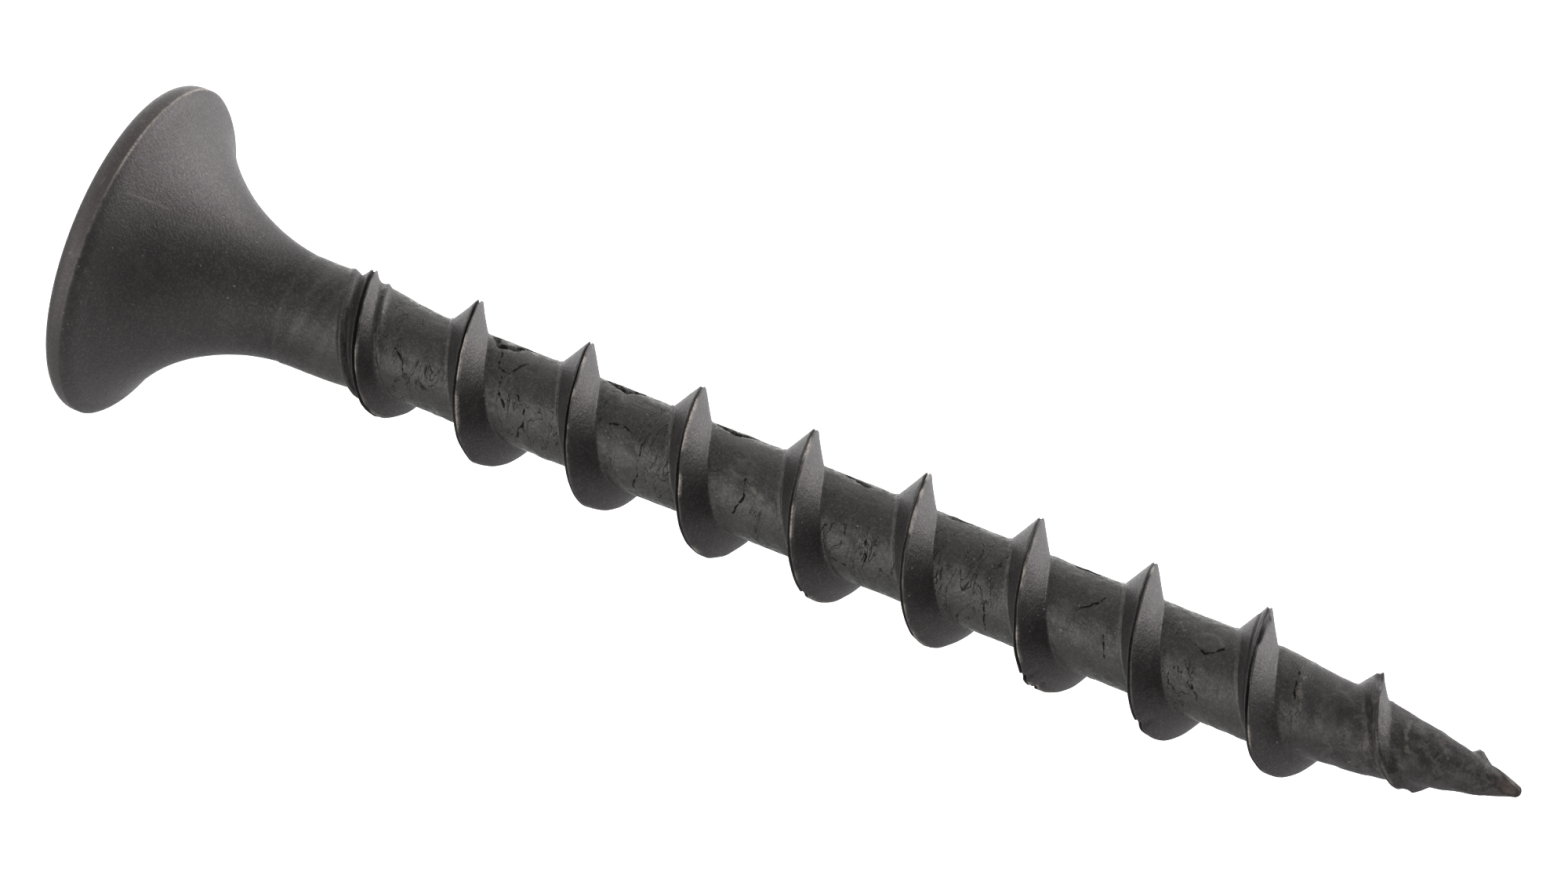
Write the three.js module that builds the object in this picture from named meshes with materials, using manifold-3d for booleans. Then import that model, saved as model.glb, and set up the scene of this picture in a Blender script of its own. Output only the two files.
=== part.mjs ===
// A coarse-thread drywall screw, 3.5 x 35 mm, made of one piece of steel.
//
// It lies along X with its origin on its axis, half way along its length. The head's flat face
// looks towards -X and the point towards +X. Everything is in millimetres and +Z is up.
//
// The screw is one cold-headed and thread-rolled wire, so it is one closed body: a turned blank
// (head, flare, shank, core and point) joined to a right-hand helical ridge, less a cross recess.

import * as THREE from 'three';
import { mergeVertices } from 'three/addons/utils/BufferGeometryUtils.js';
import Module from 'manifold-3d';

// Driving dimensions. Stations along the axis are measured from the head's flat face.
const LENGTH = 35;
const HEAD_RADIUS = 3.9;
const SHANK_RADIUS = 1.25;
const CORE_RADIUS_BACK = 1.06;
const CORE_RADIUS_FRONT = 1.11;
const THREAD_PITCH = 2.815;
const CREST_RADIUS_BACK = 1.72;
const CREST_RADIUS_FRONT = 1.825;

// Head: a flat face, a rounded rim with a crease behind it, a short shoulder, then the bugle flare.
const RIM_ROUND_LENGTH = 0.46;
const RIM_ROUND_HEIGHT = 0.45;
const CREASE_STATION = 0.61;
const SHOULDER_SWELL = { station: 0.77, radius: 3.8 };
const FLARE_START = { station: 0.88, radius: 3.59 };
const FLARE_START_SLOPE = -1.86;
const FLARE_START_HANDLE = 1.81;
const FLARE_END_STATION = 4.87;
const FLARE_END_HANDLE = 1.42;

// Shank and core: the rolled length starts with a short cone down from the shank to the core.
const ROLLED_START = 5.9;
const CORE_START = 7.7;
const CORE_END = 28.8;

// Point: a gentle cone, then a rounded steeper one that ends in a small blunt nose.
const POINT_BEND = { station: 31.43, radius: 0.862 };
const POINT_SWELL = { station: 33.3, radius: 0.62 };
const NOSE_STATION = 34.85;
const NOSE_RADIUS = 0.14;

// Thread: a V-shaped ridge that grows out of the shank and sinks into the point.
const THREAD_START = 4.4;
const THREAD_FULL = 8.6;
const THREAD_FADE = 28.6;
const THREAD_END = 34.1;
const POINT_THREAD_START = 28.125;
const POINT_THREAD_PITCH = 2.915;
const START_DRIFT = 0.34;
const THREAD_BASE_WIDTH = 0.96;
const CREST_WIDTH = 0.1;
const ROOT_OVERLAP = 0.1;
const END_HEIGHT = 0.05;
const CREST_ANGLE_STATION = 8.4;
const CREST_ANGLE = THREE.MathUtils.degToRad(38.2);

// Cross recess for a No. 2 cross driver.
const RECESS_DEPTH = 2.6;
const WING_SPAN_TOP = 4.7;
const WING_SPAN_BOTTOM = 2.1;
const WING_WIDTH_TOP = 1.1;
const WING_WIDTH_BOTTOM = 0.9;
const RECESS_CORE_RADIUS_TOP = 1.1;
const RECESS_CORE_RADIUS_BOTTOM = 0.78;
const RECESS_CORE_SIDES = 8;
const CUT_CLEARANCE = 0.5;

// Fineness of the curves.
const AROUND = 36;
const RIM_STEPS = 3;
const FLARE_STEPS = 8;
const POINT_STEPS = 6;
const THREAD_STEPS_PER_TURN = 18;

const wasm = await Module();
wasm.setup();

function toSolid(geometry) {
  const bare = geometry.clone();
  bare.deleteAttribute('normal');
  bare.deleteAttribute('uv');
  const merged = mergeVertices(bare);
  return new wasm.Manifold(new wasm.Mesh({
    numProp: 3,
    vertProperties: merged.attributes.position.array,
    triVerts: merged.index.array,
  }));
}

function toGeometry(solid) {
  const mesh = solid.getMesh();
  const geometry = new THREE.BufferGeometry();
  geometry.setAttribute('position', new THREE.BufferAttribute(mesh.vertProperties, 3));
  geometry.setIndex(new THREE.BufferAttribute(mesh.triVerts, 1));
  geometry.computeVertexNormals();
  return geometry;
}

// Half outline of the turned blank: x is the station along the axis and y the radius.
function blankOutline() {
  const slopeLength = Math.hypot(1, FLARE_START_SLOPE);
  const flareHandle = new THREE.Vector2(1, FLARE_START_SLOPE).multiplyScalar(FLARE_START_HANDLE / slopeLength);

  const rim = new THREE.EllipseCurve(
    RIM_ROUND_LENGTH, HEAD_RADIUS - RIM_ROUND_HEIGHT,
    RIM_ROUND_LENGTH, RIM_ROUND_HEIGHT,
    Math.PI, Math.PI / 2, true,
  );
  const shoulder = new THREE.QuadraticBezierCurve(
    new THREE.Vector2(CREASE_STATION, HEAD_RADIUS),
    new THREE.Vector2(SHOULDER_SWELL.station, SHOULDER_SWELL.radius),
    new THREE.Vector2(FLARE_START.station, FLARE_START.radius),
  );
  const flare = new THREE.CubicBezierCurve(
    new THREE.Vector2(FLARE_START.station, FLARE_START.radius),
    new THREE.Vector2(FLARE_START.station, FLARE_START.radius).add(flareHandle),
    new THREE.Vector2(FLARE_END_STATION - FLARE_END_HANDLE, SHANK_RADIUS),
    new THREE.Vector2(FLARE_END_STATION, SHANK_RADIUS),
  );
  const point = new THREE.QuadraticBezierCurve(
    new THREE.Vector2(POINT_BEND.station, POINT_BEND.radius),
    new THREE.Vector2(POINT_SWELL.station, POINT_SWELL.radius),
    new THREE.Vector2(NOSE_STATION, NOSE_RADIUS),
  );
  const corner = (station, radius) => new THREE.Vector2(station, radius);
  return [
    corner(0, 0),
    ...rim.getPoints(RIM_STEPS),
    ...shoulder.getPoints(RIM_STEPS),
    ...flare.getPoints(FLARE_STEPS).slice(1),
    corner(ROLLED_START, SHANK_RADIUS),
    corner(CORE_START, CORE_RADIUS_BACK),
    corner(CORE_END, CORE_RADIUS_FRONT),
    ...point.getPoints(POINT_STEPS),
    corner(LENGTH, 0),
  ];
}

// Radius of the blank at a station, read off its outline.
function blankRadius(outline, station) {
  const next = outline.findIndex((point, i) => i > 1 && point.x >= station);
  const from = outline[next - 1];
  const to = outline[next];
  return THREE.MathUtils.mapLinear(station, from.x, to.x, from.y, to.y);
}

// How far the thread has grown out of the shank at a station, from 0 to 1.
function threadGrowth(station) {
  return THREE.MathUtils.clamp((station - THREAD_START) / (THREAD_FULL - THREAD_START), 0, 1);
}

// Height of the thread's crest above the blank, as a share of its full height.
function threadSize(station) {
  const left = 1 - THREE.MathUtils.smoothstep(station, THREAD_FADE, THREAD_END);
  return Math.min(threadGrowth(station), left);
}

// Turns of the thread from CREST_ANGLE_STATION to a station: the pitch is longer on the point.
function threadTurns(station) {
  const onPoint = Math.max(0, station - POINT_THREAD_START);
  const onCore = station - CREST_ANGLE_STATION - onPoint;
  return onCore / THREAD_PITCH + onPoint / POINT_THREAD_PITCH;
}

function crestHeight(outline, station) {
  const crest = THREE.MathUtils.mapLinear(
    station, CORE_START, CORE_END, CREST_RADIUS_BACK, CREST_RADIUS_FRONT,
  );
  const core = THREE.MathUtils.mapLinear(
    station, CORE_START, CORE_END, CORE_RADIUS_BACK, CORE_RADIUS_FRONT,
  );
  return Math.max(END_HEIGHT, (crest - core) * threadSize(station));
}

// The thread's root line. Its frames point outwards and along the axis, so that each section
// of the ridge stays in a plane through the axis, and their lengths carry the ridge's size.
class ThreadRoot extends THREE.Curve {
  constructor(outline) {
    super();
    this.outline = outline;
  }

  station(t) {
    return THREE.MathUtils.lerp(THREAD_START, THREAD_END, t);
  }

  outward(t) {
    const angle = CREST_ANGLE + 2 * Math.PI * threadTurns(this.station(t));
    return new THREE.Vector3(0, Math.cos(angle), Math.sin(angle));
  }

  getUtoTmapping(u) {
    return u;
  }

  getPoint(t, target = new THREE.Vector3()) {
    const drift = START_DRIFT * (1 - threadGrowth(this.station(t)));
    const station = this.station(t) + drift;
    const radius = blankRadius(this.outline, station);
    return target.copy(this.outward(t)).multiplyScalar(radius).setX(station);
  }

  computeFrenetFrames(steps) {
    const frames = { tangents: [], normals: [], binormals: [] };
    for (let i = 0; i <= steps; i++) {
      const size = crestHeight(this.outline, this.station(i / steps));
      const outward = this.outward(i / steps);
      const backward = new THREE.Vector3(-1, 0, 0);
      frames.tangents.push(new THREE.Vector3().crossVectors(outward, backward));
      frames.normals.push(outward.multiplyScalar(size));
      frames.binormals.push(backward.multiplyScalar(size));
    }
    return frames;
  }
}

// Section of the ridge for a thread of height 1, with its foot sunk into the blank.
function threadSection() {
  const fullHeight = CREST_RADIUS_FRONT - CORE_RADIUS_FRONT;
  const base = THREAD_BASE_WIDTH / 2 / fullHeight;
  const crest = CREST_WIDTH / 2 / fullHeight;
  const foot = ROOT_OVERLAP / fullHeight;
  return new THREE.Shape([
    new THREE.Vector2(-foot, -base),
    new THREE.Vector2(0, -base),
    new THREE.Vector2(1, -crest),
    new THREE.Vector2(1, crest),
    new THREE.Vector2(0, base),
    new THREE.Vector2(-foot, base),
  ].reverse());
}

function threadGeometry(outline) {
  const turns = threadTurns(THREAD_END) - threadTurns(THREAD_START);
  return new THREE.ExtrudeGeometry(threadSection(), {
    steps: Math.round(turns * THREAD_STEPS_PER_TURN),
    extrudePath: new ThreadRoot(outline),
  });
}

// The outline turned about Y, then laid along +X.
function blankGeometry(outline) {
  const turned = outline.map((point) => new THREE.Vector2(point.y, point.x));
  return new THREE.LatheGeometry(turned, AROUND).rotateZ(-Math.PI / 2);
}

// A slab through the axis whose width narrows with depth, and which is thicker than the recess.
function taperedSlab(topWidth, bottomWidth) {
  const spread = (topWidth - bottomWidth) / 2 / RECESS_DEPTH;
  const outside = topWidth / 2 + spread * CUT_CLEARANCE;
  const outline = new THREE.Shape([
    new THREE.Vector2(-CUT_CLEARANCE, -outside),
    new THREE.Vector2(RECESS_DEPTH, -bottomWidth / 2),
    new THREE.Vector2(RECESS_DEPTH, bottomWidth / 2),
    new THREE.Vector2(-CUT_CLEARANCE, outside),
  ]);
  const thickness = 2 * HEAD_RADIUS;
  return new THREE.ExtrudeGeometry(outline, { depth: thickness, bevelEnabled: false })
    .translate(0, 0, -thickness / 2);
}

// One slot of the recess, which narrows with depth both ways.
function slotSolid(turn) {
  const span = toSolid(taperedSlab(WING_SPAN_TOP, WING_SPAN_BOTTOM).rotateX(turn));
  const width = toSolid(taperedSlab(WING_WIDTH_TOP, WING_WIDTH_BOTTOM).rotateX(turn + Math.PI / 2));
  return span.intersect(width);
}

// The eight-sided middle of the recess, which eases the corners between the slots.
function recessCoreGeometry() {
  const taper = (RECESS_CORE_RADIUS_TOP - RECESS_CORE_RADIUS_BOTTOM) / RECESS_DEPTH;
  const topRadius = RECESS_CORE_RADIUS_TOP + taper * CUT_CLEARANCE;
  const depth = RECESS_DEPTH + CUT_CLEARANCE;
  return new THREE.CylinderGeometry(RECESS_CORE_RADIUS_BOTTOM, topRadius, depth, RECESS_CORE_SIDES)
    .rotateY(Math.PI / RECESS_CORE_SIDES)
    .rotateZ(-Math.PI / 2)
    .translate(depth / 2 - CUT_CLEARANCE, 0, 0);
}

function screwGeometry() {
  const outline = blankOutline();
  const threaded = toSolid(blankGeometry(outline)).add(toSolid(threadGeometry(outline)));
  const solid = threaded
    .subtract(slotSolid(0))
    .subtract(slotSolid(Math.PI / 2))
    .subtract(toSolid(recessCoreGeometry()));
  return toGeometry(solid);
}

const phosphate = new THREE.MeshStandardMaterial({
  color: 0x45423f,
  roughness: 0.62,
  metalness: 0.55,
});

const screw = new THREE.Mesh(screwGeometry(), phosphate);
screw.name = 'screw';
screw.position.x = -LENGTH / 2;

const model = new THREE.Group();
model.name = 'drywall_screw';
model.add(screw);

export default model;
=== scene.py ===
"""A coarse-thread drywall screw in black phosphate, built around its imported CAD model."""

import math

import bpy
import numpy as np
from mathutils import Matrix, Vector


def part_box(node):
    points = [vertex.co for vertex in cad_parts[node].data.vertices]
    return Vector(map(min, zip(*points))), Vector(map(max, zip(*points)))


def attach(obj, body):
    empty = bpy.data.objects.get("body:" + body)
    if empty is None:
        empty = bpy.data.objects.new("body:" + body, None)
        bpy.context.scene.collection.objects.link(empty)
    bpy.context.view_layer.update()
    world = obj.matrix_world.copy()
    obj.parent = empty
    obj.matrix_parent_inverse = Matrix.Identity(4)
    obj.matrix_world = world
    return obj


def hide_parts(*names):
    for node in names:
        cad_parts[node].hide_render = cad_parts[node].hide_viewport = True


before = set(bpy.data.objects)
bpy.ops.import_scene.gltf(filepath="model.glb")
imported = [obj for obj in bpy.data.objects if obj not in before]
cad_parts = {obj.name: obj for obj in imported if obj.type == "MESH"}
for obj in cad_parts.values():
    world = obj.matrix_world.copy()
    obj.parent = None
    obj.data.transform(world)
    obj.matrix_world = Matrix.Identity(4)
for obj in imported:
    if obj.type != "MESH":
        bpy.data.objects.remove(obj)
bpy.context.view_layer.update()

MM = 0.001
SEED = 7

# ---- Driving dimensions, in millimetres; stations run along the axis from the head's flat face ----
SCREW_LOW, SCREW_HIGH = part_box("screw")
FACE_X = SCREW_LOW.x / MM
LENGTH = (SCREW_HIGH.x - SCREW_LOW.x) / MM
HEAD_RADIUS = SCREW_HIGH.z / MM

SHANK_RADIUS = 1.25
CORE_RADIUS_BACK = 1.058
CORE_RADIUS_FRONT = 1.11
CREST_RADIUS_BACK = 1.72
CREST_RADIUS_FRONT = 1.825
PITCH = 2.815

RIM_ROUND_LENGTH = 0.46
RIM_ROUND_HEIGHT = 0.45
FACE_DOME = 0.05
CREASE_STATION = 0.61
SHOULDER_SWELL = (0.77, 3.80)
FLARE_START = (0.88, 3.59)
FLARE_SLOPE = -1.86
FLARE_START_HANDLE = 1.81
FLARE_END = (4.87, SHANK_RADIUS)
FLARE_END_HANDLE = 1.42

ROLLED_START = 5.9
CORE_START = 7.7
CORE_END = 28.8
POINT_BEND = (31.43, 0.862)
POINT_SWELL = (33.3, 0.62)
NOSE = (34.85, 0.14)

# The thread's height at crest stations, as a share of its full height.
THREAD_SHARE_STATIONS = (4.4, 5.53, 6.94, 8.35, 9.76, 28.1, 29.5, 31.0, 31.7, 32.4, 33.7, 34.05)
THREAD_SHARES = (0.0, 0.29, 0.73, 0.91, 1.0, 1.0, 0.84, 0.65, 0.36, 0.24, 0.24, 0.0)
THREAD_HALF_BASE = 0.48
CREST_HALF_FLAT = 0.055
ROOT_FILLET = 0.035
THREAD_START = THREAD_SHARE_STATIONS[0]
# Near its start the thread lies closer to the point, and on the point its pitch is longer.
START_DRIFT = 0.34
DRIFT_END = 8.6
POINT_THREAD_START = 28.125
POINT_PITCH = 2.915
# One place on the crest, from which the thread's turns are counted.
CREST_STATION = 8.42
CREST_ANGLE = math.radians(38.2)

# The cross recess: its wings, the round core between them, and the cone at its floor.
RECESS_DEPTH = 2.6
RECESS_FLOOR_CONE = 0.35
WING_REACH_TOP = 2.35
WING_REACH_BOTTOM = 1.05
WING_HALF_WIDTH_TOP = 0.55
WING_HALF_WIDTH_BOTTOM = 0.45
WING_CORNER = 0.12
RECESS_CORE_TOP = 1.1
RECESS_CORE_BOTTOM = 0.78
RECESS_EDGE = 0.06

# The head was struck a little off the wire's axis, which it meets again along HEAD_SHIFT_FADE.
HEAD_SHIFT = 0.07
HEAD_SHIFT_ANGLE = math.radians(218.0)
HEAD_SHIFT_FADE = (0.7, 1.7)

# The shoulder behind the rim also leans: it stands further back on the upper side.
SHOULDER_LEAN = 0.05
SHOULDER_LEAN_RADII = (2.6, 3.5)
SHOULDER_LEAN_STATIONS = (0.1, 0.6)

# The point is bent a little towards the side that the camera sees as the top.
POINT_BEND_REACH = 0.055
POINT_BEND_ANGLE = math.radians(38.2)
POINT_BEND_START = 29.5

# Marks that rolling left on the shaft, as lines of (station, angle in degrees): folds close behind
# the thread, each a groove with a wider band of painted shade, and fine cracks across the lit side, painted
# as dark lines of shade.
FOLD_WIDTH = 0.16
FOLD_DEPTH = 0.08
FOLD_SHADE_WIDTH = 0.20
FOLDS = (
    ((9.23, 53), (9.49, 72), (9.78, 66), (10.03, 46)),
    ((12.09, 48), (12.50, 62), (12.85, 47)),
    ((14.88, 48), (15.32, 61), (15.66, 48)),
    ((18.05, 50), (18.58, 60)),
    ((20.70, 53), (21.05, 45)),
    ((23.75, 49), (24.20, 51)),
    ((28.35, 60), (28.60, 95)),
)
# The cracks are only painted: dark lines of painted shade, with no groove in the mesh.
CRACK_WIDTH = 0.058
CRACKS = (
    ((9.63, 82), (9.76, 104), (10.05, 106), (10.28, 84)),
    ((10.37, 126), (10.69, 140), (10.73, 158), (10.62, 183)),
    ((9.92, 112), (9.98, 131), (10.22, 146)),
    ((13.60, 126), (13.60, 147), (13.66, 163), (13.57, 187)),
    ((12.70, 118), (12.95, 113), (13.20, 118)),
    ((19.24, 135), (19.35, 152), (19.27, 175)),
    ((18.48, 171), (18.92, 175)),
    ((16.10, 120), (16.22, 140), (16.05, 163)),
    ((22.26, 149), (22.36, 165), (22.40, 190)),
    ((24.80, 93), (24.75, 101), (24.39, 118)),
    ((25.14, 133), (25.25, 152), (25.32, 161)),
    ((26.92, 100), (27.44, 111), (27.80, 98), (27.75, 87)),
    ((27.10, 126), (27.30, 139), (27.59, 162)),
    ((7.35, 128), (7.62, 140), (7.80, 166)),
    ((29.52, 86), (29.60, 104), (29.74, 126)),
)
# Raised flakes: middle station and angle, half length along the axis and half width round it.
FLAKE_HEIGHT = 0.022
FLAKES = (
    (10.12, 130, 0.24, 0.34),
    (13.25, 156, 0.36, 0.34),
    (7.45, 150, 0.42, 0.30),
    (12.45, 78, 0.22, 0.32),
    (21.50, 118, 0.14, 0.12),
    (27.40, 96, 0.34, 0.20),
    (16.00, 108, 0.30, 0.22),
    (24.00, 128, 0.34, 0.30),
    (18.70, 150, 0.30, 0.26),
)
# Nicks in the crest, on the underside of the screw.
NOTCH_WIDTH = 0.12
NOTCH_DEPTH = 0.07
NOTCHES = (
    ((18.03, 204), (18.29, 204)),
    ((23.70, 209), (23.96, 209)),
    ((23.57, 192), (23.83, 192)),
    ((26.41, 195), (26.67, 195)),
)
# Pale scratches on the flare, and pale streaks across the core and the point, as such lines too.
PALE_LINE_STRENGTH = 0.13
SCRATCH_WIDTH = 0.026
SCRATCHES = (
    ((0.92, 111.7), (1.25, 108.5), (1.62, 105.5)),
    ((1.82, 88), (1.93, 92)),
    ((2.50, 176), (2.74, 180.5)),
)
STREAK_WIDTH = 0.13
STREAKS = (
    ((29.70, 88), (29.72, 104), (29.92, 128)),
    ((32.19, 72), (32.30, 100), (32.44, 130)),
    ((31.55, 150), (31.56, 141), (31.66, 137), (31.74, 142)),
    ((26.62, 84), (26.74, 92)),
    ((16.33, 128), (16.62, 134)),
    ((33.10, 80), (33.30, 110)),
)

# How far the drawn marks wander, and the side from which the surface is unrolled, facing the camera.
MARK_WOBBLE = 0.16
FACING_ANGLE = math.radians(128.2)

# Where the dies' burnish begins, with a low step. The shank is dull there: fully so from the second
# station of DULL_START to the second of DULL_END.
BURNISH_START = 4.55
SHANK_STEP = (4.52, 4.58)
SHANK_STEP_HEIGHT = 0.02
DULL_START = (3.2, 4.6)
DULL_END = (6.3, 5.3)

# The point's blotches come in along POINT_MOTTLED, and the screw is brown from TIP_BROWN on.
POINT_MOTTLED = (29.5, 31.0)
TIP_BROWN = (34.3, 34.85)

# Colours, as linear red, green and blue with alpha: the coating, then the steel that shows through.
DARK_COAT = (0.0060, 0.0055, 0.0054, 1.0)
MIDDLE_COAT = (0.0115, 0.0105, 0.0103, 1.0)
LIGHT_COAT = (0.050, 0.046, 0.044, 1.0)
GREEN_COAT = (0.0090, 0.0089, 0.0078, 1.0)
PALE_GREEN_COAT = (0.056, 0.056, 0.049, 1.0)
WORN_COAT = (0.085, 0.078, 0.070, 1.0)
SPECK = (0.17, 0.165, 0.16, 1.0)
BROWN = (0.085, 0.060, 0.045, 1.0)
# Painted shade: near black painted into the seam, pits, folds and cracks, where shade falls in them.
PAINTED_CUT_SHADE = (0.0025, 0.0024, 0.0024, 1.0)
BARE_STEEL = (0.40, 0.36, 0.31, 1.0)
# The rim is rubbed, so it has this share of the worn coating's colour.
RIM_WEAR = 0.25
# Tints of the shine, on the coating, on the burnished core and where the surface is dull.
SPECULAR_LEVEL = 0.75
WARM_SHINE = (1.0, 0.90, 0.92, 1.0)
GREEN_SHINE = (1.0, 0.985, 0.945, 1.0)
DULL_SHINE = (0.02, 0.02, 0.02, 1.0)
BUMP_STRENGTH = 0.8
BUMP_HEIGHT = 0.01

# Fineness of the mesh, and where its helical rows begin on the flare.
COLUMNS = 136
GRID_START = 1.05
SNAP = 0.05
FLARE_STRETCH = 2.0
FLARE_STRETCH_STATION = 4.3

# The camera: its direction, lens, sensor and width shown, and how far off the origin it aims.
VIEW_AZIMUTH = math.radians(28.0)
VIEW_ELEVATION = math.radians(48.3)
LENS = 400.0
SENSOR = 36.0
VIEW_WIDTH = 34.72
AIM_RIGHT = -0.623
AIM_UP = 1.604

# The floor and the two panels over it, in metres and watts.
FLOOR_SIZE = 3.0
FLOOR_GREY = 0.8
PANEL_SIZE = 0.6
PANEL_HEIGHT = 0.6
OVERHEAD_POWER = 1.6
FLOOR_PANEL_POWER = 9.0

# Brightness of the room by the height of a direction, from straight down to straight up.
SKY_BY_HEIGHT = (
    (-1.0, 0.53),
    (-0.7, 0.60),
    (-0.26, 0.77),
    (0.0, 0.84),
    (0.26, 0.92),
    (0.5, 0.82),
    (0.7, 0.60),
    (0.87, 0.48),
    (1.0, 0.44),
)
# Brighter patches: direction, where each starts and is full as a cosine, and its brightness.
SKY_LOBES = (
    ((0.55, 0.78, 0.30), 0.79, 1.00, 2.50),
    ((0.53, 0.76, -0.37), 0.76, 1.00, 0.95),
    ((0.95, 0.29, -0.02), 0.85, 1.00, 0.55),
    ((-0.47, -0.83, 0.30), 0.80, 1.00, 1.15),
    ((-0.52, 0.62, -0.58), 0.84, 0.99, 1.60),
)
# Darker patches: the same, with the share of the light that each takes away.
SKY_SHADES = (
    ((0.96, -0.29, 0.03), 0.86, 0.985, 0.92),
    ((0.64, -0.50, 0.57), 0.55, 0.97, 0.62),
    ((-0.86, 0.22, -0.42), 0.80, 1.00, 0.55),
)


# ---- Small numeric helpers ----
def smoothstep(low, high, value):
    """A smooth step from 0 at low to 1 at high; it falls where high is the smaller of the two."""
    t = np.clip((value - low) / (high - low), 0.0, 1.0)
    return t * t * (3.0 - 2.0 * t)


def hill(centre, half_width, value):
    """A rounded hill that is 1 at its centre and 0 beyond its half width."""
    t = np.clip(np.abs(value - centre) / half_width, 0.0, 1.0)
    return (1.0 - t * t) ** 2


def lattice(ix, iy, iz, seed):
    """A fixed pseudo-random value from -1 to 1 for each whole-number lattice point."""
    h = ix.astype(np.uint32) * np.uint32(73856093)
    h = h ^ (iy.astype(np.uint32) * np.uint32(19349663))
    h = h ^ (iz.astype(np.uint32) * np.uint32(83492791))
    h = h ^ np.uint32(seed * 26544 + 97)
    h = (h ^ (h >> np.uint32(13))) * np.uint32(1274126177)
    h = (h ^ (h >> np.uint32(16))) * np.uint32(2246822519)
    h = h ^ (h >> np.uint32(15))
    return h.astype(np.float64) / 2147483647.5 - 1.0


def noise(points, scale, seed):
    """Smooth value noise from about -1 to 1, with features 1/scale millimetres across."""
    p = points * scale
    cell = np.floor(p)
    f = p - cell
    u = f * f * (3.0 - 2.0 * f)
    i = cell.astype(np.int64)
    total = np.zeros(points.shape[:-1])
    for dx in (0, 1):
        for dy in (0, 1):
            for dz in (0, 1):
                weight = u[..., 0] if dx else 1.0 - u[..., 0]
                weight = weight * (u[..., 1] if dy else 1.0 - u[..., 1])
                weight = weight * (u[..., 2] if dz else 1.0 - u[..., 2])
                total += weight * lattice(i[..., 0] + dx, i[..., 1] + dy, i[..., 2] + dz, seed)
    return total


def bezier(points, steps):
    """Points along a Bezier curve of any degree."""
    t = np.linspace(0.0, 1.0, steps)[:, None]
    level = [np.array(p, float)[None, :] for p in points]
    while len(level) > 1:
        level = [a * (1 - t) + b * t for a, b in zip(level[:-1], level[1:])]
    return level[0]


# ---- The turned blank and the thread ----
def blank_outline():
    """Stations and radii of the blank from the crease behind the rim to the nose."""
    slope = np.array([1.0, FLARE_SLOPE]) / math.hypot(1.0, FLARE_SLOPE)
    start = np.array(FLARE_START)
    shoulder = bezier([(CREASE_STATION, HEAD_RADIUS), SHOULDER_SWELL, start], 24)
    handle = (FLARE_END[0] - FLARE_END_HANDLE, SHANK_RADIUS)
    flare = bezier([start, start + slope * FLARE_START_HANDLE, handle, FLARE_END], 80)
    step = np.linspace(0.0, 1.0, 24)
    rolled_radius = SHANK_RADIUS + (CORE_RADIUS_BACK - SHANK_RADIUS) * smoothstep(0.0, 1.0, step)
    rolled = np.stack([ROLLED_START + (CORE_START - ROLLED_START) * step, rolled_radius], 1)
    core = np.array([(CORE_END, CORE_RADIUS_FRONT)])
    point = bezier([POINT_BEND, POINT_SWELL, NOSE], 30)
    turn = np.linspace(0.0, math.pi / 2, 9)[1:]
    nose = np.stack([NOSE[0] + (LENGTH - NOSE[0]) * np.sin(turn), NOSE[1] * np.cos(turn)], 1)
    return np.concatenate([shoulder, flare[1:], rolled, core, point, nose])


OUTLINE = blank_outline()


def blank_radius(station):
    """Radius of the blank, with its corners eased where its cones meet."""
    reach = 0.35
    near = np.interp(station, OUTLINE[:, 0], OUTLINE[:, 1])
    before = np.interp(station - reach, OUTLINE[:, 0], OUTLINE[:, 1])
    after = np.interp(station + reach, OUTLINE[:, 0], OUTLINE[:, 1])
    ease = smoothstep(5.2, 6.0, station) * (1.0 - smoothstep(33.0, 34.0, station))
    return near + ease * (before + after - 2.0 * near) / 4.0


def turns_at(station):
    """Turns of the thread from CREST_STATION to a station."""
    on_point = np.maximum(0.0, station - POINT_THREAD_START)
    return (station - CREST_STATION - on_point) / PITCH + on_point / POINT_PITCH


def station_at(turns):
    """The station a number of turns from CREST_STATION; the undoing of turns_at."""
    on_point = np.maximum(0.0, turns - float(turns_at(POINT_THREAD_START)))
    return CREST_STATION + (turns - on_point) * PITCH + on_point * POINT_PITCH


def thread_share(crest_station):
    """The thread's height at a crest station, as a share of its full height."""
    return np.interp(crest_station, THREAD_SHARE_STATIONS, THREAD_SHARES)


def thread_half_base(crest_station):
    """Half the thread's width at its root, which is narrower where the thread is low."""
    return THREAD_HALF_BASE * (0.38 + 0.62 * thread_share(crest_station))


def crest_height(station):
    """How far the crest stands above the blank at a crest station."""
    share = (station - CORE_START) / (CORE_END - CORE_START)
    crest = CREST_RADIUS_BACK + (CREST_RADIUS_FRONT - CREST_RADIUS_BACK) * share
    core = CORE_RADIUS_BACK + (CORE_RADIUS_FRONT - CORE_RADIUS_BACK) * share
    return (crest - core) * thread_share(station)


def drifted(station):
    """A crest's station, moved towards the point where the thread starts."""
    share = np.clip((DRIFT_END - station) / (DRIFT_END - THREAD_START), 0.0, 1.0)
    return station + START_DRIFT * share


def nearest_crest(station, angle):
    """Axial distance of each point from the nearest crest line, and that crest's station."""
    turned = (angle - CREST_ANGLE) / (2 * math.pi)
    crest = station_at(np.round(turns_at(station) - turned) + turned)
    return station - drifted(crest), crest


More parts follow.
